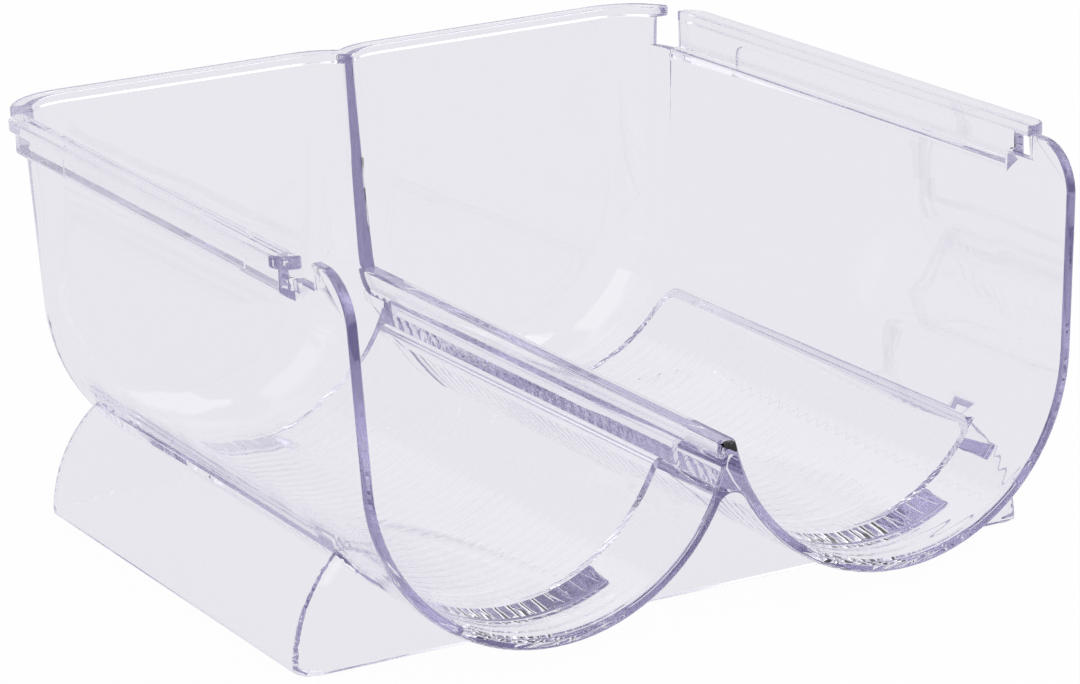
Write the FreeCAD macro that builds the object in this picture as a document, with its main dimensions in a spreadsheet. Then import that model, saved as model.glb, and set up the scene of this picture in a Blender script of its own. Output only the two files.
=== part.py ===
import FreeCAD, Part
import math
import os

import Sketcher
from FreeCAD import Placement, Rotation, Vector

# Two-bay bottle holder, moulded in one piece from clear plastic.
#
# Two round-bottomed bays lie side by side, open at the front and on top, with a back wall that
# curves round each bay. A skirt ring under the bays stands on the shelf. Each side wall ends in a
# stacking rail: a ledge, an upright lip and an outward flange, open at the rear. A flat flange
# runs along the rim of the back wall.
#
# Frame: millimetres, X to the right, Y from the open front to the back wall, Z up. The origin is
# at the middle of the footprint, on the surface that the skirt stands on.

SIZES = {
    "depth": (205.3, "front edges of the bays to the rear edge of the rim flange"),
    "height": (104.3, "top of the rim flange above the shelf"),
    "wall": (2.7, "thickness of the bay walls"),
    "bay_radius": (46.9, "inner radius of a bay's floor at the front"),
    "bay_offset": (47.5, "middle of a bay from the centre plane, at the front"),
    "floor_gap": (5.2, "underside of the bays above the shelf"),
    "bay_taper": (3.0, "how much narrower a bay is at the back"),
    "side_draft": (2.75, "outward lean of the side walls, degrees"),
    "back_round": (14.3, "inner radius where the back wall meets sides and floor"),
    "cusp_depth": (8.2, "back wall's inner face to the crease between the bays, at the top"),
    "cusp_lean": (4.6, "forward lean of the crease towards its foot, degrees"),
    "groove_round": (4.2, "radius under the ridge between the bays"),
    "ridge_width": (4.7, "flat top of the ridge between the bays"),
    "ridge_height": (46.5, "top of the ridge above the shelf"),
    "ridge_round": (0.8, "radius of the ridge's top edges"),
    "ridge_setback": (2.3, "front edges of the bays to the front end of the ridge"),
    "rim_reach": (3.0, "rim flange beyond the wall"),
    "rim_thickness": (3.0, "thickness of the rim flange"),
    "rim_side": (12.6, "length of the rim flange's returns along the side walls"),
    "front_drop": (1.2, "rim's top down to the top of the side walls in front of the rails"),
    "front_round": (12.5, "radius of the side walls' front top corners"),
    "rail_drop": (0.3, "rim's top down to the top of the rail flange"),
    "flange_front": (20.0, "front edges to the front end of the rail flange"),
    "lip_front": (27.0, "front edges to the front end of the rail's lip"),
    "rail_gap": (18.8, "rear end of a rail to the rear edge of the rim flange"),
    "ledge_drop": (10.4, "rim's top down to the ledge of the rail"),
    "ledge_width": (3.7, "ledge from the wall's inner face to the lip"),
    "lip_thickness": (2.7, "thickness of the rail's upright lip"),
    "flange_reach": (3.3, "rail flange beyond the lip"),
    "flange_thickness": (3.2, "thickness of the rail flange"),
    "flange_round": (6.0, "radius of the rail flange's outer corners"),
    "shoulder_drop": (2.7, "height of the sloped underside of the rail"),
    "channel_front": (26.6, "front edges to the front end of the rail's channel"),
    "channel_round": (3.0, "radius of the channel's front end at the lip"),
    "step_front": (16.5, "front edges to the shallow step before the channel"),
    "step_drop": (7.4, "rim's top down to the shallow step"),
    "recess_front": (48.0, "front edges to the front end of the recess in the lip"),
    "recess_rear": (49.3, "rear end of the recess to the rear edge of the rim flange"),
    "recess_depth": (0.6, "depth of the recess in the lip's inner face"),
    "recess_height": (5.6, "height of the recess above the ledge"),
    "recess_round": (3.0, "radius of the recess's upper corners"),
    "base_width": (203.6, "width of the skirt on the shelf"),
    "base_depth": (151.4, "depth of the skirt on the shelf"),
    "base_bulge": (36.5, "radius of the skirt's rounded sides"),
    "bulge_height": (31.0, "height up to which the skirt's sides are rounded"),
    "base_draft": (2.5, "inward lean of the skirt's front and back plates, degrees"),
    "base_corner": (6.5, "outer radius of the skirt's upright corners"),
    "base_wall": (2.5, "thickness of the skirt"),
    "over": (6.0, "how far a cutting form runs past the face that it cuts"),
}

# A draft is only up to date after a second recompute.
DRAFT_PASSES = 2

# How near to a place an edge or a face counts as lying there, and how little it may wander.
NEAR = 1.0
FLAT = 0.01

# Places worked out from the sizes.
FRONT = "(-Sizes.depth / 2)"
REAR = "(Sizes.depth / 2 - Sizes.rim_reach)"
BAY_HEIGHT = "(Sizes.floor_gap + Sizes.wall + Sizes.bay_radius)"
OUTER_RADIUS = "(Sizes.bay_radius + Sizes.wall)"
NARROWING = "(Sizes.bay_taper / 2 / Sizes.depth)"
REAR_SKEW = (
    f"({NARROWING} * (Sizes.height - {BAY_HEIGHT} + Sizes.bay_radius - Sizes.back_round))"
)
BAY_LENGTH = f"(Sizes.depth - Sizes.rim_reach - Sizes.wall - {REAR_SKEW})"
RIDGE_FOOT = f"({BAY_HEIGHT} - sqrt({OUTER_RADIUS} ^ 2 - Sizes.bay_offset ^ 2))"
CREASE = f"({REAR} - Sizes.wall - Sizes.cusp_depth)"
CREASE_FOOT = f"({CREASE} - (Sizes.height - Sizes.ridge_height) * tan(Sizes.cusp_lean))"
RIM_START = "(Sizes.depth - Sizes.rim_side)"
RAIL_END = "(Sizes.depth - Sizes.rail_gap)"
RAIL_TOP = "(Sizes.height - Sizes.rail_drop)"
FLANGE_FOOT = f"({RAIL_TOP} - Sizes.flange_thickness)"
LEDGE = "(Sizes.height - Sizes.ledge_drop)"
ABOVE = "(Sizes.height + Sizes.over)"
RAIL_SLOPE = f"({NARROWING} * (1 + 1 / cos(Sizes.side_draft) - tan(Sizes.side_draft)))"
LEDGE_WALL = (
    f"(Sizes.bay_offset + {OUTER_RADIUS} / cos(Sizes.side_draft)"
    f" + ({LEDGE} - {BAY_HEIGHT}) * tan(Sizes.side_draft))"
)
LIP_INSIDE = f"({LEDGE_WALL} - Sizes.wall + Sizes.ledge_width)"
LIP_OUTSIDE = f"({LIP_INSIDE} + Sizes.lip_thickness)"


def make_sheet(doc):
    """The driving sizes, one row each: name, value and what it measures."""
    sheet = doc.addObject("Spreadsheet::Sheet", "Sizes")
    for row, (alias, (value, meaning)) in enumerate(SIZES.items(), start=1):
        sheet.set(f"A{row}", alias)
        sheet.set(f"B{row}", str(value))
        sheet.set(f"C{row}", meaning)
        sheet.setAlias(f"B{row}", alias)
    doc.recompute()


def value_of(doc, formula):
    """The number that a formula of the sheet's sizes gives."""
    result = doc.getObject("Sizes").evalExpression(formula.replace("Sizes.", ""))
    return float(getattr(result, "Value", result))


def new_sketch(body, name, role):
    """An empty sketch on one of the body's own origin planes."""
    sketch = body.newObject("Sketcher::SketchObject", name)
    planes = {feature.Role: feature for feature in body.Origin.OriginFeatures}
    sketch.AttachmentSupport = [(planes[role], "")]
    sketch.MapMode = "FlatFace"
    return sketch


def fix(sketch, kind, places, name, formula):
    """One dimension of a sketch, bound to a formula of the sheet's sizes."""
    start = value_of(sketch.Document, formula)
    index = sketch.addConstraint(Sketcher.Constraint(kind, *places, start))
    sketch.renameConstraint(index, name)
    sketch.setExpression(f"Constraints.{name}", formula)


def arc_between(start, end, radius):
    """Short arc from start to end: anticlockwise for a positive radius, else clockwise."""
    chord = end - start
    side = Vector(-chord.y, chord.x, 0).normalize()
    height = math.sqrt(radius**2 - (chord.Length / 2) ** 2)
    centre = (start + end) * 0.5 + side * math.copysign(height, radius)
    first, last = (start, end) if radius > 0 else (end, start)
    angles = [math.atan2(point.y - centre.y, point.x - centre.x) for point in (first, last)]
    if angles[1] < angles[0]:
        angles[1] += 2 * math.pi
    return Part.ArcOfCircle(Part.Circle(centre, Vector(0, 0, 1), abs(radius)), *angles)


def draw_outline(sketch, points):
    """Closed outline through (x, y) or (x, y, radius) formulas; a radius bends the edge ahead."""
    doc = sketch.Document
    base = sketch.GeometryCount
    corners = [Vector(value_of(doc, spot[0]), value_of(doc, spot[1]), 0) for spot in points]
    starts = []
    for index, spot in enumerate(points):
        ahead = corners[(index + 1) % len(corners)]
        if len(spot) == 2:
            sketch.addGeometry(Part.LineSegment(corners[index], ahead))
            starts.append(1)
            continue
        radius = value_of(doc, spot[2])
        sketch.addGeometry(arc_between(corners[index], ahead, radius))
        starts.append(1 if radius > 0 else 2)
    for index, spot in enumerate(points):
        edge = base + index
        following = (index + 1) % len(points)
        ends = (edge, 3 - starts[index], base + following, starts[following])
        sketch.addConstraint(Sketcher.Constraint("Coincident", *ends))
        place = (-1, 1, edge, starts[index])
        fix(sketch, "DistanceX", place, f"across{edge}", spot[0])
        fix(sketch, "DistanceY", place, f"up{edge}", spot[1])
        if len(spot) == 3:
            fix(sketch, "Radius", (edge,), f"radius{edge}", f"abs({spot[2]})")


def tilt_with_bay(body):
    """Give a body the right bay's own frame: origin at the middle of its front, Y along it.

    The bay narrows towards the back while its floor stays level and its inner side stays along
    the ridge, so its middle line runs down and towards the centre plane by the same amount.
    """
    body.Placement = Placement(Vector(), Rotation(Vector(-1, 0, 1), 1))
    body.setExpression("Placement.Base.x", "Sizes.bay_offset")
    body.setExpression("Placement.Base.y", FRONT)
    body.setExpression("Placement.Base.z", BAY_HEIGHT)
    body.setExpression("Placement.Rotation.Angle", f"atan(sqrt(2) * {NARROWING})")


def bay_section(body, name, offset, place, top):
    """U-shaped section of a bay across its middle line, offset outwards from its inner face."""
    doc = body.Document
    sketch = new_sketch(body, name, "XZ_Plane")
    sketch.setExpression("AttachmentOffset.Base.z", f"-({place})")
    radius = f"(Sizes.bay_radius - {NARROWING} * ({place}) + {offset})"
    angle = math.radians(value_of(doc, "Sizes.side_draft"))
    size = value_of(doc, radius)
    inner_foot = Vector(-math.cos(angle), -math.sin(angle), 0) * size
    outer_foot = Vector(math.cos(angle), -math.sin(angle), 0) * size
    rise = value_of(doc, top) - inner_foot.y
    inner_top = inner_foot + Vector(-math.tan(angle), 1, 0) * rise
    outer_top = outer_foot + Vector(math.tan(angle), 1, 0) * rise
    circle = Part.Circle(Vector(), Vector(0, 0, 1), size)
    sketch.addGeometry(Part.LineSegment(outer_foot, outer_top))
    sketch.addGeometry(Part.ArcOfCircle(circle, math.pi + angle, 2 * math.pi - angle))
    sketch.addGeometry(Part.LineSegment(inner_foot, inner_top))
    sketch.addGeometry(Part.LineSegment(outer_top, inner_top))
    sketch.addConstraint(Sketcher.Constraint("Tangent", 1, 2, 0, 1))
    sketch.addConstraint(Sketcher.Constraint("Tangent", 1, 1, 2, 1))
    sketch.addConstraint(Sketcher.Constraint("Coincident", 0, 2, 3, 1))
    sketch.addConstraint(Sketcher.Constraint("Coincident", 3, 2, 2, 2))
    sketch.addConstraint(Sketcher.Constraint("Horizontal", 3))
    sketch.addConstraint(Sketcher.Constraint("Coincident", 1, 3, -1, 1))
    fix(sketch, "Radius", (1,), "radius", radius)
    fix(sketch, "DistanceY", (-1, 1, 0, 2), "top", top)
    lean = (math.pi / 2 - angle, math.pi / 2 + angle)
    for line, name_of_line, start, sign in ((0, "outer", lean[0], "-"), (2, "inner", lean[1], "+")):
        index = sketch.addConstraint(Sketcher.Constraint("Angle", line, start))
        sketch.renameConstraint(index, name_of_line)
        formula = f"(90 {sign} Sizes.side_draft) * 1 deg"
        sketch.setExpression(f"Constraints.{name_of_line}", formula)
    return sketch


def lengthwise_faces(shape, top):
    """Names of a form's walls and floor, which run from front to rear below its top."""
    names = []
    for index, face in enumerate(shape.Faces, start=1):
        box = face.BoundBox
        if box.YLength > NEAR and box.ZMin < top:
            names.append(f"Face{index}")
    return names


def front_face(shape):
    """Name of a form's foremost face."""
    distances = [face.CenterOfGravity.y for face in shape.Faces]
    return f"Face{distances.index(min(distances)) + 1}"


def rear_edges(shape, rear, top):
    """Names of a form's edges round its rear end, apart from the one along the top."""
    names = []
    for index, edge in enumerate(shape.Edges, start=1):
        if edge.BoundBox.YMin > rear and edge.BoundBox.ZMin < top:
            names.append(f"Edge{index}")
    return names


def bay_form(doc, name, offset, spare):
    """Solid form of the right bay, offset outwards from its inner face, rounded at the back.

    It runs past the front and the top by the spare length, where later cuts trim it.
    """
    body = doc.addObject("PartDesign::Body", name)
    tilt_with_bay(body)
    rear = f"({BAY_LENGTH} + {offset})"
    top = f"(Sizes.height - {BAY_HEIGHT} + {spare})"
    pad = body.newObject("PartDesign::Pad", f"{name}_pad")
    pad.Profile = bay_section(body, f"{name}_section", offset, f"-{spare}", top)
    pad.Reversed = True
    pad.setExpression("Length", f"{rear} + {spare}")
    doc.recompute()
    below_top = value_of(doc, top) - NEAR
    tapered = body.newObject("PartDesign::Draft", f"{name}_taper")
    tapered.Base = (pad, lengthwise_faces(pad.Shape, below_top))
    tapered.NeutralPlane = (pad, [front_face(pad.Shape)])
    tapered.setExpression("Angle", f"atan({NARROWING})")
    for _ in range(DRAFT_PASSES):
        doc.recompute()
    edges = rear_edges(tapered.Shape, value_of(doc, rear) - NEAR, below_top)
    round_edges(body, tapered, edges, f"{name}_round", f"Sizes.back_round + {offset}")
    return body


def groove_form(doc):
    """Fill under the ridge that rounds off the groove between the bays' undersides."""
    body = doc.addObject("PartDesign::Body", "groove")
    reach = f"({OUTER_RADIUS} + Sizes.groove_round)"
    drop = f"sqrt({reach} ^ 2 - Sizes.bay_offset ^ 2)"
    side = f"(Sizes.groove_round * Sizes.bay_offset / {reach})"
    foot = f"({BAY_HEIGHT} - {drop} * (1 - Sizes.groove_round / {reach}))"
    inside = f"(({RIDGE_FOOT} + Sizes.ridge_height) / 2)"
    fall = f"({NARROWING} * (1 - ({reach} - Sizes.bay_offset) / {drop}))"
    sketch = new_sketch(body, "groove_section", "XZ_Plane")
    outline = [
        (f"-{side}", foot, "-Sizes.groove_round"),
        (side, foot),
        (side, inside),
        (f"-{side}", inside),
    ]
    draw_outline(sketch, outline)
    sketch.setExpression("AttachmentOffset.Base.z", f"-{FRONT}")
    pad = body.newObject("PartDesign::Pad", "groove_pad")
    pad.Profile = sketch
    pad.UseCustomVector = True
    pad.AlongSketchNormal = True
    pad.Direction = Vector(0, 1, -1)
    pad.setExpression("Direction.z", f"-{fall}")
    pad.setExpression("Length", "Sizes.depth / 2 + Sizes.base_depth / 2 - Sizes.base_wall")
    return body


def box_between(doc, name, low, high):
    """Upright box between two corners given as formulas."""
    box = doc.addObject("Part::Box", name)
    sides = ("Length", "Width", "Height")
    for axis, side, start, end in zip("xyz", sides, low, high):
        box.setExpression(f"Placement.Base.{axis}", start)
        box.setExpression(side, f"{end} - ({start})")
    return box


def lean_sketch(body, name, inset, foot, top):
    """Side view of what is trimmed off the ends of the skirt, so that its plates lean inwards."""
    sketch = new_sketch(body, name, "YZ_Plane")
    half = f"(Sizes.base_depth / 2 - {inset})"
    low = f"({half} - {foot} * tan(Sizes.base_draft))"
    high = f"({half} - {top} * tan(Sizes.base_draft))"
    beyond = f"({half} + Sizes.over)"
    draw_outline(sketch, [(low, foot), (beyond, foot), (beyond, top), (high, top)])
    rear = [(f"-{across}", up) for across, up in ((low, foot), (beyond, foot))]
    rear += [(f"-{across}", up) for across, up in ((beyond, top), (high, top))]
    draw_outline(sketch, rear)
    return sketch


def skirt_form(doc, name, inset, foot):
    """Skirt's solid form with rounded sides and leaning plates, inset from its outer face."""
    body = doc.addObject("PartDesign::Body", name)
    side = f"(Sizes.base_width / 2 - {inset})"
    bulge = f"(Sizes.base_bulge - {inset})"
    turn = f"(Sizes.bulge_height - {inset})"
    shoulder = f"(Sizes.base_width / 2 - Sizes.base_bulge + sqrt({bulge} ^ 2 - {turn} ^ 2))"
    top = "(Sizes.ridge_height - Sizes.ridge_width)"
    sketch = new_sketch(body, f"{name}_section", "XZ_Plane")
    outline = [(side, "0", bulge), (shoulder, turn), (shoulder, top)]
    outline += [(f"-{shoulder}", top), (f"-{shoulder}", turn, bulge), (f"-{side}", "0")]
    if foot != "0":
        outline += [(f"-{side}", foot), (side, foot)]
    draw_outline(sketch, outline)
    pad = body.newObject("PartDesign::Pad", f"{name}_pad")
    pad.Profile = sketch
    pad.Midplane = True
    pad.setExpression("Length", f"Sizes.base_depth - 2 * {inset}")
    doc.recompute()
    lean = body.newObject("PartDesign::Pocket", f"{name}_lean")
    lean.Profile = lean_sketch(body, f"{name}_ends", inset, foot, top)
    lean.Midplane = True
    lean.setExpression("Length", "Sizes.base_width + Sizes.over")
    return body


def round_skirt(doc, skirt):
    """Round the upright corners of the skirt's outer form, where its plates meet its sides."""
    doc.recompute()
    lean = skirt.Tip
    half = value_of(doc, "Sizes.base_depth / 2")
    turn = value_of(doc, "Sizes.bulge_height")
    corners = []
    for index, edge in enumerate(lean.Shape.Edges, start=1):
        box = edge.BoundBox
        upright = box.ZLength > NEAR and box.YLength < half
        outside = box.XMax > half or box.XMin < -half
        if upright and outside and box.ZMax < turn + FLAT:
            corners.append(f"Edge{index}")
    round_edges(skirt, lean, corners, "skirt_round", "Sizes.base_corner")


def along_rail(doc, name, outline, start, end):
    """Bar that follows the right side wall in plan, from one distance behind the front on."""
    body = doc.addObject("PartDesign::Body", name)
    sketch = new_sketch(body, f"{name}_section", "XZ_Plane")
    draw_outline(sketch, [(f"{across} - {RAIL_SLOPE} * {start}", up) for across, up in outline])
    sketch.setExpression("AttachmentOffset.Base.z", f"-({FRONT} + {start})")
    pad = body.newObject("PartDesign::Pad", f"{name}_pad")
    pad.Profile = sketch
    pad.UseCustomVector = True
    pad.AlongSketchNormal = True
    pad.Direction = Vector(-1, 1, 0)
    pad.setExpression("Direction.x", f"-{RAIL_SLOPE}")
    pad.setExpression("Length", f"{end} - {start}")
    return body


def upright_edges(shape, least_x, low, high):
    """Names of a form's upright edges beyond a distance from the centre, between two heights."""
    names = []
    for index, edge in enumerate(shape.Edges, start=1):
        box = edge.BoundBox
        upright = box.ZLength > NEAR and box.XLength < FLAT and box.YLength < FLAT
        if upright and box.XMin > least_x and box.ZMin > low and box.ZMax < high:
            names.append(f"Edge{index}")
    return names


def round_edges(body, base, edges, name, radius):
    """Round a body's named edges."""
    rounded = body.newObject("PartDesign::Fillet", name)
    rounded.Base = (base, edges)
    rounded.setExpression("Radius", radius)
    body.Tip = rounded


def lip_form(doc):
    """Right rail's lip, with the wall's top and the sloped shoulder, before the channel is cut."""
    inside = f"({LEDGE_WALL} - Sizes.wall)"
    shoulder = f"({LEDGE} - Sizes.shoulder_drop)"
    outline = [
        (inside, shoulder),
        (f"({LEDGE_WALL} - Sizes.shoulder_drop * tan(Sizes.side_draft))", shoulder),
        (LIP_OUTSIDE, LEDGE),
        (LIP_OUTSIDE, RAIL_TOP),
        (inside, RAIL_TOP),
    ]
    return along_rail(doc, "lip", outline, "Sizes.lip_front", RAIL_END)


def flange_form(doc):
    """Right rail's flange, a flat plate with rounded outer corners."""
    inside = f"({LEDGE_WALL} - Sizes.wall / 2)"
    edge = f"({LIP_OUTSIDE} + Sizes.flange_reach)"
    outline = [(inside, FLANGE_FOOT), (edge, FLANGE_FOOT), (edge, RAIL_TOP), (inside, RAIL_TOP)]
    body = along_rail(doc, "flange", outline, "Sizes.flange_front", RAIL_END)
    doc.recompute()
    low = value_of(doc, FLANGE_FOOT) - NEAR
    high = value_of(doc, RAIL_TOP) + NEAR
    corners = upright_edges(body.Tip.Shape, value_of(doc, LIP_INSIDE), low, high)
    round_edges(body, body.Tip, corners, "flange_round", "Sizes.flange_round")
    return body


def channel_form(doc, name, floor, start, end):
    """Channel along the right rail, from a floor height up."""
    inside = f"({LEDGE_WALL} - Sizes.wall - Sizes.over)"
    outline = [(inside, floor), (LIP_INSIDE, floor), (LIP_INSIDE, ABOVE), (inside, ABOVE)]
    return along_rail(doc, name, outline, start, end)


def round_channel(doc, channel):
    """Round the channel's front end where it meets the lip."""
    doc.recompute()
    low = value_of(doc, LEDGE) - NEAR
    high = value_of(doc, ABOVE) + NEAR
    outer = upright_edges(channel.Tip.Shape, value_of(doc, LEDGE_WALL), low, high)
    front = [edge for edge in outer if channel.Tip.Shape.getElement(edge).BoundBox.YMax < 0]
    round_edges(channel, channel.Tip, front, "channel_rounding", "Sizes.channel_round")


def recess_form(doc):
    """Shallow recess in the inner face of the right rail's lip, rounded at its upper corners."""
    inside = f"({LIP_INSIDE} - Sizes.ledge_width / 2)"
    outside = f"({LIP_INSIDE} + Sizes.recess_depth)"
    top = f"({LEDGE} + Sizes.recess_height)"
    outline = [(inside, LEDGE), (outside, LEDGE), (outside, top), (inside, top)]
    end = "(Sizes.depth - Sizes.recess_rear)"
    body = along_rail(doc, "recess", outline, "Sizes.recess_front", end)
    doc.recompute()
    corners = []
    for index, edge in enumerate(body.Tip.Shape.Edges, start=1):
        box = edge.BoundBox
        across = box.YLength < FLAT and box.ZLength < FLAT
        if across and box.ZMin > value_of(doc, top) - FLAT:
            corners.append(f"Edge{index}")
    round_edges(body, body.Tip, corners, "recess_round", "Sizes.recess_round")
    return body


def side_pad(doc, name, outline, width):
    """Form with an outline seen from the side, from the centre plane to the right."""
    body = doc.addObject("PartDesign::Body", name)
    sketch = new_sketch(body, f"{name}_outline", "YZ_Plane")
    draw_outline(sketch, outline)
    pad = body.newObject("PartDesign::Pad", f"{name}_pad")
    pad.Profile = sketch
    pad.setExpression("Length", width)
    return body


def gap_form(doc):
    """Open space over the ridge, from the front to the crease in the back wall."""
    before = f"({FRONT} - Sizes.over)"
    outline = [
        (before, "Sizes.ridge_height"),
        (CREASE_FOOT, "Sizes.ridge_height"),
        (f"({CREASE} + Sizes.over * tan(Sizes.cusp_lean))", ABOVE),
        (before, ABOVE),
    ]
    return side_pad(doc, "gap", outline, "Sizes.ridge_width / 2")


def outline_form(doc):
    """Right half of the holder's outline seen from the side, with the rounded front top corner."""
    behind = "(Sizes.depth / 2 + Sizes.over)"
    corner = f"({FRONT} + Sizes.front_round)"
    front_top = "(Sizes.height - Sizes.front_drop)"
    outline = [
        (FRONT, "-Sizes.over"),
        (behind, "-Sizes.over"),
        (behind, "Sizes.height"),
        (f"({FRONT} + {RIM_START})", "Sizes.height"),
        (f"({FRONT} + {RIM_START})", RAIL_TOP),
        (f"({FRONT} + Sizes.flange_front)", RAIL_TOP),
        (f"({FRONT} + Sizes.flange_front)", front_top),
        (corner, front_top, "Sizes.front_round"),
        (FRONT, f"({front_top} - Sizes.front_round)"),
    ]
    return side_pad(doc, "outline", outline, "Sizes.base_width")


def mirrored(doc, source):
    """The same form on the other side of the centre plane."""
    twin = doc.addObject("Part::Mirroring", f"{source.Name}_left")
    twin.Source = source
    twin.Base = Vector(0, 0, 0)
    twin.Normal = Vector(1, 0, 0)
    return twin


def join(doc, name, pieces):
    """Union of several forms."""
    union = doc.addObject("Part::MultiFuse", name)
    union.Shapes = pieces
    return union


def combine(doc, kind, name, base, tool):
    """Cut, fusion or common part of two forms."""
    result = doc.addObject(kind, name)
    result.Base = base
    result.Tool = tool
    return result


def cut_each(doc, name, base, tools):
    """A form with several others cut away, one after another."""
    for count, tool in enumerate(tools, start=1):
        base = combine(doc, "Part::Cut", f"{name}_{count}", base, tool)
    return base


def ridge_form(doc, grooved):
    """Flat-topped ridge between the bays, from near the front to the foot of the crease."""
    body = doc.addObject("PartDesign::Body", "ridge_bar")
    sketch = new_sketch(body, "ridge_section", "XZ_Plane")
    half = "(Sizes.ridge_width / 2)"
    flat = f"({half} - Sizes.ridge_round)"
    side = "(Sizes.ridge_height - Sizes.ridge_round)"
    outline = [
        (f"-{half}", RIDGE_FOOT),
        (half, RIDGE_FOOT),
        (half, side, "Sizes.ridge_round"),
        (flat, "Sizes.ridge_height"),
        (f"-{flat}", "Sizes.ridge_height", "Sizes.ridge_round"),
        (f"-{half}", side),
    ]
    draw_outline(sketch, outline)
    start = f"({FRONT} + Sizes.ridge_setback)"
    sketch.setExpression("AttachmentOffset.Base.z", f"-{start}")
    pad = body.newObject("PartDesign::Pad", "ridge_pad")
    pad.Profile = sketch
    pad.Reversed = True
    pad.setExpression("Length", f"{CREASE} - {start}")
    return combine(doc, "Part::Common", "ridge", body, grooved)


def rim_band(doc):
    """Right half of the flange along the rim of the back wall."""
    wide = bay_form(doc, "rim", "(Sizes.wall + Sizes.rim_reach)", "Sizes.over")
    low = ("0", f"({FRONT} + {RIM_START})", "(Sizes.height - Sizes.rim_thickness)")
    high = ("Sizes.base_width", "(Sizes.depth / 2 + Sizes.over)", "Sizes.height")
    slab = box_between(doc, "rim_slab", low, high)
    return combine(doc, "Part::Common", "rim_band", wide, slab)


def bottle_holder(doc):
    """The whole holder as one moulded solid: its right half, joined to the mirror image."""
    bay = bay_form(doc, "bay", "Sizes.wall", "Sizes.over")
    space = bay_form(doc, "space", "0", "(Sizes.over * 2)")
    grooved = join(doc, "grooved_bay", [bay, groove_form(doc)])
    skirt = skirt_form(doc, "skirt", "0", "0")
    round_skirt(doc, skirt)
    massive = join(doc, "massive", [grooved, skirt, rim_band(doc), lip_form(doc), flange_form(doc)])
    open_bay = cut_each(doc, "open_bay", massive, [space, gap_form(doc)])
    hollow = skirt_form(doc, "hollow", "Sizes.base_wall", "-Sizes.over")
    underside = combine(doc, "Part::Cut", "underside", hollow, grooved)
    on_skirt = combine(doc, "Part::Cut", "on_skirt", open_bay, underside)
    ridged = combine(doc, "Part::Fuse", "ridged", on_skirt, ridge_form(doc, grooved))
    shaped = combine(doc, "Part::Common", "shaped", ridged, outline_form(doc))
    step_end = "(Sizes.channel_front + Sizes.channel_round)"
    step_floor = "(Sizes.height - Sizes.step_drop)"
    step = channel_form(doc, "step", step_floor, "Sizes.step_front", step_end)
    channel = channel_form(doc, "channel", LEDGE, "Sizes.channel_front", RIM_START)
    round_channel(doc, channel)
    half = cut_each(doc, "railed", shaped, [channel, step, recess_form(doc)])
    holder = join(doc, "holder", [half, mirrored(doc, half)])
    holder.Refine = True
    holder.Label = "bottle_holder"
    return holder


def check(doc):
    """Stop if any object of the document failed, or has no valid shape."""
    for item in doc.Objects:
        if "Invalid" in item.State or "Error" in item.State:
            raise RuntimeError(f"{item.Name}: {item.State}")
        if item.isDerivedFrom("PartDesign::Feature") or item.isDerivedFrom("Part::Boolean"):
            if item.Shape.isNull() or not item.Shape.isValid():
                raise RuntimeError(f"{item.Name}: no valid shape")


def main():
    """Build the document and write the holder's STEP file."""
    doc = FreeCAD.newDocument("bottle_holder")
    make_sheet(doc)
    nodes = [bottle_holder(doc)]
    doc.recompute()
    check(doc)
    os.makedirs("parts", exist_ok=True)
    for node in nodes:
        if len(node.Shape.Solids) != 1:
            raise RuntimeError(f"{node.Label}: {len(node.Shape.Solids)} solids")
        node.Shape.exportStep(f"parts/{node.Label}.step")
        box = node.Shape.optimalBoundingBox(False)
        print(node.Label, box, round(node.Shape.Volume))


main()
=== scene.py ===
"""Clear moulded bottle holder with two round bays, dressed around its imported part.

Lengths are in metres. Angles are in radians, apart from those of the lamps and the eye.
"""

import logging
import math
from dataclasses import dataclass
from enum import Enum

import bmesh
import bpy
from mathutils import Matrix, Vector

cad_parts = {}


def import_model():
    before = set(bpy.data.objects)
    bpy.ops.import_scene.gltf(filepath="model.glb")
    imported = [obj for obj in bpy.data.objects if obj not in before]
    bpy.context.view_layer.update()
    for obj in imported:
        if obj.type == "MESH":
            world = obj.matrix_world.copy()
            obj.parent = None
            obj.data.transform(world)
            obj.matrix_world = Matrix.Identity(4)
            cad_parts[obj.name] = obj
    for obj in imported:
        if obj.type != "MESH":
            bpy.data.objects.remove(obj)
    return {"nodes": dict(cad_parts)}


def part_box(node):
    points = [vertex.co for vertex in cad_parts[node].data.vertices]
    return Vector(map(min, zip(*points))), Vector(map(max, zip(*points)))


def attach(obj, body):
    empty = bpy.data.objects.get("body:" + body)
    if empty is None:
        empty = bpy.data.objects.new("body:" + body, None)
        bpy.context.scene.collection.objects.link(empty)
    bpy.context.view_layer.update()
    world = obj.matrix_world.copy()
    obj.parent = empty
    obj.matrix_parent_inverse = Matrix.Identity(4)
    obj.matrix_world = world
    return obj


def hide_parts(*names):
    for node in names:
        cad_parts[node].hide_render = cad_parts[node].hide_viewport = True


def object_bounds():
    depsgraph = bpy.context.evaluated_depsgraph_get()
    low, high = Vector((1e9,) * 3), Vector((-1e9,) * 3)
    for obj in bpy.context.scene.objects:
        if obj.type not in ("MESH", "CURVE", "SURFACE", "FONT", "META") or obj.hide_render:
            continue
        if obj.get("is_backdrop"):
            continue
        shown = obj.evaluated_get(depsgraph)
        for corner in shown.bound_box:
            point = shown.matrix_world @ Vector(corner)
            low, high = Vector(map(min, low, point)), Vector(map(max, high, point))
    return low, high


LOG = logging.getLogger("bottle_holder")
LONG_PATH = 128
QUARTER_TURN = math.pi / 2.0
WHITE = (1.0, 1.0, 1.0, 1.0)


class Role(Enum):
    """What a lamp does for the clear plastic."""

    KEY = "key"
    FILL = "fill"
    RIM = "rim"


class Side(Enum):
    """A side of the holder, with the sign of its X."""

    RIGHT = 1
    LEFT = -1


class End(Enum):
    """An end of the holder, with the sign of its Y."""

    FRONT = -1
    BACK = 1


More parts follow.
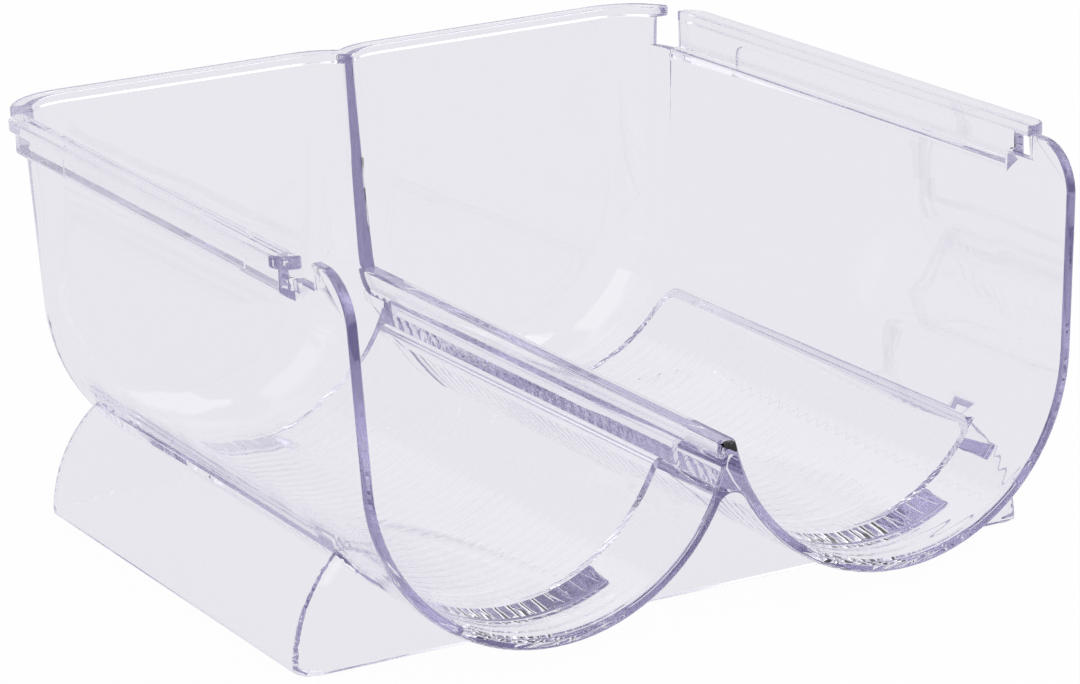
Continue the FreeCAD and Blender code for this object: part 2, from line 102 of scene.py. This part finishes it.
@dataclass(frozen=True)
class ClearPlastic:
    """Clear moulded plastic that turns violet where light runs far through it.

    The wall is nearly colourless across its thickness. Its cut edges, the crease and
    the rails are seen through many millimetres, so the same absorption makes them violet.
    """

    refraction: float = 1.56
    roughness: float = 0.0
    density: float = 6.4
    passed: tuple[float, float, float] = (0.45, 0.405, 0.65)
    ripple_size: float = 60.0
    ripple_detail: float = 0.0
    ripple_height: float = 0.00006

    def build(self) -> bpy.types.Material:
        """Make the plastic's material.

        Returns:
            The material, with its surface, flow ripple and absorbing volume.
        """
        material = bpy.data.materials.new("clear_plastic_moulded")
        material.use_nodes = True
        tree = material.node_tree
        tree.nodes.clear()
        output = tree.nodes.new("ShaderNodeOutputMaterial")
        surface = tree.nodes.new("ShaderNodeBsdfPrincipled")
        surface.inputs["Base Color"].default_value = WHITE
        surface.inputs["Transmission Weight"].default_value = 1.0
        surface.inputs["IOR"].default_value = self.refraction
        surface.inputs["Roughness"].default_value = self.roughness
        tree.links.new(self.flow_ripple(tree), surface.inputs["Normal"])
        tree.links.new(surface.outputs["BSDF"], output.inputs["Surface"])
        volume = tree.nodes.new("ShaderNodeVolumeAbsorption")
        volume.inputs["Color"].default_value = (*self.passed, 1.0)
        volume.inputs["Density"].default_value = self.density
        tree.links.new(volume.outputs["Volume"], output.inputs["Volume"])
        return material

    def flow_ripple(self, tree: bpy.types.NodeTree) -> bpy.types.NodeSocket:
        """Add the faint waves that the melt leaves in a broad wall.

        Args:
            tree: The material's node tree.

        Returns:
            The socket that carries the bent normal.
        """
        place = tree.nodes.new("ShaderNodeTexCoord")
        wave = tree.nodes.new("ShaderNodeTexNoise")
        wave.inputs["Scale"].default_value = self.ripple_size
        wave.inputs["Detail"].default_value = self.ripple_detail
        tree.links.new(place.outputs["Object"], wave.inputs["Vector"])
        bump = tree.nodes.new("ShaderNodeBump")
        bump.inputs["Distance"].default_value = self.ripple_height
        tree.links.new(wave.outputs["Fac"], bump.inputs["Height"])
        return bump.outputs["Normal"]


@dataclass(frozen=True)
class Sight:
    """How bright the surround looks: white to the eye, and a shade lilac through plastic."""

    through: tuple[float, float, float] = (0.825, 0.815, 0.862)

    def seen(self, tree: bpy.types.NodeTree) -> bpy.types.NodeSocket:
        """Tell the eye's rays, straight or by way of the plastic, from lighting rays.

        Args:
            tree: The node tree that asks.

        Returns:
            A socket that is 1 for a ray of the eye, a reflection or a view through plastic.
        """
        path = tree.nodes.new("ShaderNodeLightPath")
        total = path.outputs["Is Camera Ray"]
        for name in ("Is Glossy Ray", "Is Transmission Ray"):
            add = tree.nodes.new("ShaderNodeMath")
            add.operation = "ADD"
            add.use_clamp = True
            tree.links.new(total, add.inputs[0])
            tree.links.new(path.outputs[name], add.inputs[1])
            total = add.outputs["Value"]
        return total

    def tone(
        self, tree: bpy.types.NodeTree, lit: tuple[float, float, float]
    ) -> bpy.types.NodeSocket:
        """Give the surround's colour for each kind of ray.

        Args:
            tree: The node tree that asks.
            lit: The colour that lights the part.

        Returns:
            A socket with white for the eye, the lilac shade through plastic, else the lit colour.
        """
        path = tree.nodes.new("ShaderNodeLightPath")
        plain = tree.nodes.new("ShaderNodeMix")
        plain.data_type = "RGBA"
        plain.inputs["A"].default_value = (*lit, 1.0)
        plain.inputs["B"].default_value = (*self.through, 1.0)
        tree.links.new(self.seen(tree), plain.inputs["Factor"])
        open_view = tree.nodes.new("ShaderNodeMix")
        open_view.data_type = "RGBA"
        open_view.inputs["B"].default_value = WHITE
        tree.links.new(path.outputs["Is Camera Ray"], open_view.inputs["Factor"])
        tree.links.new(plain.outputs["Result"], open_view.inputs["A"])
        return open_view.outputs["Result"]


@dataclass(frozen=True)
class PaleFloor:
    """White paper floor that shows white to the eye and keeps the part's soft shadow."""

    tone: float = 0.9
    glow: float = 0.97
    unlit: tuple[float, float, float] = (0.0, 0.0, 0.0)

    def build(self) -> bpy.types.Material:
        """Make the floor's material.

        Returns:
            The material, part paper and part plain white for what looks straight at it.
        """
        material = bpy.data.materials.new("pale_floor")
        material.use_nodes = True
        tree = material.node_tree
        tree.nodes.clear()
        output = tree.nodes.new("ShaderNodeOutputMaterial")
        paper = tree.nodes.new("ShaderNodeBsdfDiffuse")
        paper.inputs["Color"].default_value = (self.tone, self.tone, self.tone, 1.0)
        white = tree.nodes.new("ShaderNodeEmission")
        sight = Sight()
        tree.links.new(sight.tone(tree, self.unlit), white.inputs["Color"])
        share = tree.nodes.new("ShaderNodeMath")
        share.operation = "MULTIPLY"
        share.inputs[1].default_value = self.glow
        tree.links.new(sight.seen(tree), share.inputs[0])
        blend = tree.nodes.new("ShaderNodeMixShader")
        tree.links.new(share.outputs["Value"], blend.inputs["Fac"])
        tree.links.new(paper.outputs["BSDF"], blend.inputs[1])
        tree.links.new(white.outputs["Emission"], blend.inputs[2])
        tree.links.new(blend.outputs["Shader"], output.inputs["Surface"])
        return material


@dataclass(frozen=True)
class Lamp:
    """One soft box: where it stands round the part in degrees, its width and its watts."""

    role: Role
    azimuth: float
    elevation: float
    distance: float
    width: float
    power: float

    def build(self, target: Vector) -> bpy.types.Object:
        """Make the lamp and turn it towards the part.

        Args:
            target: The point that the lamp faces.

        Returns:
            The lamp object.
        """
        data = bpy.data.lights.new("soft_box_" + self.role.value, "AREA")
        data.shape = "SQUARE"
        data.size = self.width
        data.energy = self.power
        lamp = bpy.data.objects.new(data.name, data)
        bpy.context.scene.collection.objects.link(lamp)
        away = outward(self.azimuth, self.elevation)
        lamp.location = target + away * self.distance
        lamp.rotation_euler = (-away).to_track_quat("-Z", "Y").to_euler()
        return lamp


@dataclass(frozen=True)
class Studio:
    """Plain pale studio: floor, even white surround and soft boxes."""

    floor_half: float = 3.0
    floor_drop: float = 0.0001
    surround: float = 0.62
    lamps: tuple[Lamp, ...] = (
        Lamp(Role.KEY, azimuth=-75.0, elevation=55.0, distance=1.5, width=1.2, power=3.0),
        Lamp(Role.FILL, azimuth=50.0, elevation=45.0, distance=1.6, width=1.2, power=5.0),
        Lamp(Role.RIM, azimuth=165.0, elevation=50.0, distance=1.5, width=1.2, power=1.0),
    )
    floor_finish: PaleFloor = PaleFloor()

    def build(self, target: Vector) -> None:
        """Make the floor, the surround and the lamps.

        Args:
            target: The middle of the part.
        """
        self.build_floor()
        self.build_surround()
        for lamp in self.lamps:
            lamp.build(target)
            LOG.info("lamp %s", lamp.role.value)

    def build_floor(self) -> bpy.types.Object:
        """Lay the floor a hair's breadth under the part's foot.

        Returns:
            The floor, marked as stage.
        """
        half = self.floor_half
        mesh = bpy.data.meshes.new("floor")
        corners = [(-half, -half, 0.0), (half, -half, 0.0), (half, half, 0.0), (-half, half, 0.0)]
        mesh.from_pydata(corners, [], [(0, 1, 2, 3)])
        mesh.materials.append(self.floor_finish.build())
        floor = bpy.data.objects.new("floor", mesh)
        floor.location.z = -self.floor_drop
        bpy.context.scene.collection.objects.link(floor)
        floor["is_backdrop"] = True
        return floor

    def build_surround(self) -> bpy.types.World:
        """Light the part evenly from all round, white to the eye and plain in strength.

        Returns:
            The world.
        """
        world = bpy.data.worlds.new("white_surround")
        bpy.context.scene.world = world
        world.use_nodes = True
        tree = world.node_tree
        tree.nodes.clear()
        output = tree.nodes.new("ShaderNodeOutputWorld")
        background = tree.nodes.new("ShaderNodeBackground")
        lit = (self.surround, self.surround, self.surround)
        tree.links.new(Sight().tone(tree, lit), background.inputs["Color"])
        tree.links.new(background.outputs["Background"], output.inputs["Surface"])
        return world


@dataclass(frozen=True)
class ViewPoint:
    """The eye of the photograph: its place, its angles in degrees and its lens in millimetres."""

    place: tuple[float, float, float] = (-0.5285, -0.9834, 0.3781)
    azimuth: float = -28.492
    elevation: float = 16.570
    roll: float = -2.0724
    lens: float = 152.884
    sensor_width: float = 36.0
    nearest: float = 0.01
    farthest: float = 20.0

    def build(self) -> bpy.types.Object:
        """Make the camera and set it as the scene's.

        Returns:
            The camera object.
        """
        back = outward(self.azimuth, self.elevation)
        right = (-back).cross(Vector((0.0, 0.0, 1.0))).normalized()
        up = right.cross(-back)
        lean = math.radians(self.roll)
        tilted_right = right * math.cos(lean) + up * math.sin(lean)
        tilted_up = up * math.cos(lean) - right * math.sin(lean)
        axes = Matrix((tilted_right, tilted_up, back)).transposed()
        data = bpy.data.cameras.new("photo_view")
        data.sensor_width = self.sensor_width
        data.lens = self.lens
        data.clip_start = self.nearest
        data.clip_end = self.farthest
        camera = bpy.data.objects.new("photo_view", data)
        camera.matrix_world = Matrix.Translation(self.place) @ axes.to_4x4()
        bpy.context.scene.collection.objects.link(camera)
        bpy.context.scene.camera = camera
        return camera


@dataclass(frozen=True)
class Bay:
    """The round trough that one bottle lies in: a cylinder that narrows towards the back.

    The sizes are those of the right-hand bay; the left one mirrors it.
    """

    aside: float = 0.0475
    height: float = 0.0548
    radius: float = 0.0469
    narrowing: float = 0.0073
    length: float = 0.1847

    def point(self, front: float, station: float, angle: float, proud: float) -> Vector:
        """Find a point over the bay's wall.

        Args:
            front: The front edge's place along Y.
            station: How far behind the front edge the point lies.
            angle: The turn about the bay's axis, 0 at the bottom.
            proud: How far the point stands inside the wall's face.

        Returns:
            The point.
        """
        shift = self.narrowing * station
        reach = self.radius - shift - proud
        across = self.aside - shift + reach * math.sin(angle)
        up = self.height - shift - reach * math.cos(angle)
        return Vector((across, front + station, up))

    def depth(self, front: float, spot: Vector) -> float:
        """Measure how deep a point lies under the wall's face.

        Args:
            front: The front edge's place along Y.
            spot: The point.

        Returns:
            The depth, less than 0 for a point in the open bay.
        """
        shift = self.narrowing * (spot.y - front)
        across = spot.x - (self.aside - shift)
        down = self.height - shift - spot.z
        return math.hypot(across, down) - (self.radius - shift)


@dataclass(frozen=True)
class FloorRibs:
    """The low waves moulded across a bay's floor, which keep a wet bottle from sliding.

    They rise from a thin bed, bite a little into the wall at their field's edges, and are
    rooted deep enough in the wall to become one with it.
    """

    bay: Bay = Bay()
    pitch: float = 0.0046
    height: float = 0.00008
    bed: float = 0.00009
    bite: float = 0.0001
    root: float = 0.0013
    margin: float = 0.001
    half_spread: float = math.radians(62.0)
    fade_angle: float = math.radians(14.0)
    steps_per_rib: int = 8
    columns: int = 40

    @staticmethod
    def ease(share: float) -> float:
        """Rise smoothly from 0 to 1."""
        held = min(max(share, 0.0), 1.0)
        return held * held * (3.0 - 2.0 * held)

    def proud(self, station: float, angle: float) -> float:
        """Give the waves' height over the wall's face.

        Args:
            station: The place along the bay, from its front edge.
            angle: The turn about the bay's axis.

        Returns:
            The height, slightly below the face at the edges of the ribbed field.
        """
        from_ends = min(station - self.margin, self.bay.length - self.margin - station)
        fade = self.ease(from_ends / self.margin)
        fade *= self.ease((self.half_spread - abs(angle)) / self.fade_angle)
        wave = 0.5 - 0.5 * math.cos(math.tau * station / self.pitch)
        return fade * (self.bite + self.bed + self.height * wave) - self.bite

    def angles(self) -> list[float]:
        """List the turns at which the waves are drawn."""
        share = 2.0 * self.half_spread / self.columns
        return [column * share - self.half_spread for column in range(self.columns + 1)]

    def stations(self) -> list[float]:
        """List the places along the bay at which the waves are drawn.

        Returns:
            Distances from the front edge, evenly spread from margin to margin.
        """
        start, end = self.margin, self.bay.length - self.margin
        count = round((end - start) / self.pitch * self.steps_per_rib)
        return [start + (end - start) * row / count for row in range(count + 1)]

    def build(self, front: float, side: Side) -> bpy.types.Object:
        """Make one bay's ribs as a closed form, rooted in the wall.

        Args:
            front: The front edge's place along Y.
            side: The bay's side.

        Returns:
            The ribs, ready to be joined to the moulding.
        """
        stations = self.stations()
        rings = []
        for angle in self.angles():
            ring = []
            for station in stations:
                ring.append(self.bay.point(front, station, angle, self.proud(station, angle)))
            for station in (stations[-1], stations[0]):
                ring.append(self.bay.point(front, station, angle, -self.root))
            rings.append(mirrored(ring, side))
        return closed_form("floor_ribs", rings)


@dataclass(frozen=True)
class SkirtCorner:
    """The hollow round inside each upright corner of the skirt, which keeps its wall even.

    Its sections stand square to the skirt's rounded side, so they turn about the side's axis,
    from just over the foot to a point inside the bay's wall.
    """

    bay: Bay = Bay()
    top_depth: float = 0.0010
    axis: float = 0.0653
    reach: float = 0.0340
    half_depth: float = 0.0732
    lean: float = math.tan(math.radians(2.5))
    radius: float = 0.0042
    crossing: float = math.radians(8.0)
    bite: float = 0.0012
    corner_bite: float = 0.0003
    foot_gap: float = 0.0007
    search_step: float = math.radians(0.25)
    arc_steps: int = 10
    rows: int = 24

    def profile(self) -> list[tuple[float, float]]:
        """Draw the section: the hollow arc, then the corner that bites into the walls.

        Returns:
            Distances from the side's axis, each with its distance in from the plate.
        """
        inset = self.radius * math.cos(self.crossing)
        outline = []
        for step in range(self.arc_steps + 1):
            turn = QUARTER_TURN * step / self.arc_steps
            away = self.reach - inset + self.radius * math.cos(turn)
            outline.append((away, inset - self.radius * math.sin(turn)))
        outline.append((self.reach - inset, -self.bite))
        outline.append((self.reach + self.corner_bite, -self.corner_bite))
        outline.append((self.reach + self.bite, inset))
        return outline

    def point(self, turn: float, away: float, inward: float, end: End) -> Vector:
        """Place one point of the section.

        Args:
            turn: The section's turn about the side's axis, 0 at the foot.
            away: Distance from the side's axis.
            inward: Distance in from the skirt's plate.
            end: The plate's end of the holder.

        Returns:
            The point on the right-hand side.
        """
        up = away * math.sin(turn)
        along = end.value * (self.half_depth - up * self.lean - inward)
        return Vector((self.axis + away * math.cos(turn), along, up))

    def top_turn(self, front: float, end: End) -> float:
        """Find the turn at which the section has run well into the bay's wall.

        Args:
            front: The front edge's place along Y.
            end: The plate's end of the holder.

        Returns:
            The turn about the side's axis.
        """
        turn = 0.0
        while turn < QUARTER_TURN:
            spot = self.point(turn, self.reach, 0.0, end)
            if self.bay.depth(front, spot) < self.top_depth:
                break
            turn += self.search_step
        return turn

    def build(self, front: float, side: Side, end: End) -> bpy.types.Object:
        """Make one corner's filling as a closed form.

        Args:
            front: The front edge's place along Y.
            side: The corner's side of the holder.
            end: The corner's end of the holder.

        Returns:
            The form, ready to be joined to the moulding.
        """
        first = math.asin(self.foot_gap / self.reach)
        last = self.top_turn(front, end)
        rings = []
        for row in range(self.rows + 1):
            turn = first + (last - first) * row / self.rows
            ring = [self.point(turn, away, inward, end) for away, inward in self.profile()]
            rings.append(mirrored(ring, side))
        return closed_form("skirt_corner", rings)


@dataclass(frozen=True)
class Holder:
    """The holder itself: one clear moulding with softened edges and ribbed floors.

    Edges that turn outwards by more than the sharp turn are rounded, and those in the front
    zone get the larger rounding. Edges past the crisp turn stay crisp in shading, and faces
    within the flat turn of each other are one face.
    """

    node: str = "bottle_holder"
    body: str = "root"
    slot: str = "clear_plastic"
    finish: ClearPlastic = ClearPlastic()
    ribs: FloorRibs = FloorRibs()
    corner: SkirtCorner = SkirtCorner()
    rounding: float = 0.0009
    rounding_steps: int = 4
    lesser_rounding: float = 0.0006
    front_zone: float = 0.0135
    sharp_turn: float = math.radians(28.0)
    crisp_turn: float = math.radians(35.0)
    flat_turn: float = math.radians(0.05)
    weld: float = 0.00001

    def build(self, nodes: dict[str, bpy.types.Object]) -> bpy.types.Object:
        """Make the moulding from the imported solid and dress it.

        Args:
            nodes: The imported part's objects by name.

        Returns:
            The dressed moulding.
        """
        moulding = bpy.data.objects.new("holder_moulding", self.welded(nodes[self.node].data))
        bpy.context.scene.collection.objects.link(moulding)
        self.soften_edges(moulding)
        front = self.front_edge()
        for side in Side:
            self.join(moulding, self.ribs.build(front, side))
            for end in End:
                self.join(moulding, self.corner.build(front, side, end))
        self.shade(moulding)
        moulding.data.materials.clear()
        moulding.data.materials.append(self.finish.build())
        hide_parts(self.node)
        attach(moulding, self.body)
        return moulding

    def front_edge(self) -> float:
        """Give the front edge's place along Y."""
        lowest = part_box(self.node)[0]
        return lowest[1]

    def welded(self, packed: bpy.types.Mesh) -> bpy.types.Mesh:
        """Copy the solid's mesh as one closed skin and mark the edges that the mould softens.

        The foot's faces are cut into triangles, so that they stay flat when the edges round.

        Args:
            packed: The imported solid's mesh.

        Returns:
            The copy, with a bevel weight on each outward edge, 1 near the front edge.
        """
        mesh = packed.copy()
        front = self.front_edge()
        lesser = self.lesser_rounding / self.rounding
        skin = bmesh.new()
        skin.from_mesh(mesh)
        bmesh.ops.remove_doubles(skin, verts=skin.verts, dist=self.weld)
        bmesh.ops.dissolve_degenerate(skin, edges=skin.edges, dist=self.weld)
        bmesh.ops.dissolve_limit(
            skin, angle_limit=self.flat_turn, verts=skin.verts, edges=skin.edges, delimit=set()
        )
        foot = [face for face in skin.faces if max(vert.co.z for vert in face.verts) < self.weld]
        bmesh.ops.triangulate(skin, faces=foot)
        weight = skin.edges.layers.float.new("bevel_weight_edge")
        for edge in skin.edges:
            if edge.is_manifold and edge.calc_face_angle_signed() > self.sharp_turn:
                behind = max(vert.co.y for vert in edge.verts) - front
                edge[weight] = 1.0 if behind < self.front_zone else lesser
        skin.to_mesh(mesh)
        skin.free()
        return mesh

    def soften_edges(self, moulding: bpy.types.Object) -> None:
        """Round the marked edges.

        Args:
            moulding: The moulding with its marked edges.
        """
        bevel = moulding.modifiers.new("softened_edges", "BEVEL")
        bevel.limit_method = "WEIGHT"
        bevel.width = self.rounding
        bevel.segments = self.rounding_steps
        bevel.use_clamp_overlap = False
        self.apply(moulding)

    def join(self, moulding: bpy.types.Object, piece: bpy.types.Object) -> None:
        """Make a form one with the moulding.

        Args:
            moulding: The moulding.
            piece: The form, which is used up.
        """
        union = moulding.modifiers.new("moulded_on", "BOOLEAN")
        union.operation = "UNION"
        union.solver = "EXACT"
        union.object = piece
        self.apply(moulding)
        bpy.data.objects.remove(piece)

    def shade(self, moulding: bpy.types.Object) -> None:
        """Shade curves smooth and keep flat faces flat.

        Args:
            moulding: The moulding.
        """
        moulding.data.shade_smooth()
        moulding.data.set_sharp_from_angle(angle=self.crisp_turn)
        normals = moulding.modifiers.new("flat_faces", "WEIGHTED_NORMAL")
        normals.keep_sharp = True
        self.apply(moulding)

    @staticmethod
    def apply(moulding: bpy.types.Object) -> None:
        """Keep what the modifiers make and take them off.

        Args:
            moulding: The object with modifiers.
        """
        graph = bpy.context.evaluated_depsgraph_get()
        moulding.data = bpy.data.meshes.new_from_object(moulding.evaluated_get(graph))
        moulding.modifiers.clear()


def outward(azimuth: float, elevation: float) -> Vector:
    """Give the direction from the part towards a lamp or the eye.

    Args:
        azimuth: The turn to the right from straight in front, in degrees.
        elevation: The rise over the floor, in degrees.

    Returns:
        The direction, 1 long.
    """
    turn = math.radians(azimuth)
    rise = math.radians(elevation)
    level = math.cos(rise)
    return Vector((math.sin(turn) * level, -math.cos(turn) * level, math.sin(rise)))


def mirrored(ring: list[Vector], side: Side) -> list[Vector]:
    """Move a ring of points from the right-hand side to the side that is asked for."""
    return [Vector((side.value * spot.x, spot.y, spot.z)) for spot in ring]


def closed_form(name: str, rings: list[list[Vector]]) -> bpy.types.Object:
    """Skin rings of points and close both ends.

    Args:
        name: The form's name.
        rings: Closed rings with as many points each, in order.

    Returns:
        The form's object, linked to the scene.
    """
    body = bmesh.new()
    grid = [[body.verts.new(spot) for spot in ring] for ring in rings]
    for ring, following in zip(grid, grid[1:]):
        for index in range(len(ring)):
            ahead = (index + 1) % len(ring)
            body.faces.new((ring[index], ring[ahead], following[ahead], following[index]))
    body.faces.new(grid[0])
    body.faces.new(list(reversed(grid[-1])))
    bmesh.ops.recalc_face_normals(body, faces=body.faces)
    mesh = bpy.data.meshes.new(name)
    body.to_mesh(mesh)
    body.free()
    form = bpy.data.objects.new(name, mesh)
    bpy.context.scene.collection.objects.link(form)
    return form


def allow_long_paths(bounces: int) -> None:
    """Let light run the length of a wall, reflected inside it many times, before it is given up.

    Args:
        bounces: How many times a ray may be reflected or refracted.
    """
    settings = bpy.context.scene.cycles
    settings.max_bounces = bounces
    settings.glossy_bounces = bounces
    settings.transmission_bounces = bounces


def main() -> None:
    """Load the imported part, dress it and set up the studio and the camera."""
    logging.basicConfig(level=logging.INFO, format="%(name)s: %(message)s")
    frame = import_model()
    cad_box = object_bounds()
    view = bpy.context.scene.view_settings
    view.view_transform = "Standard"
    allow_long_paths(LONG_PATH)
    ViewPoint().build()
    LOG.info("camera at the photograph's view")
    moulding = Holder().build(frame["nodes"])
    LOG.info("piece %s with %d faces", moulding.name, len(moulding.data.polygons))
    Studio().build((cad_box[0] + cad_box[1]) / 2)


if __name__ == "__main__":
    main()
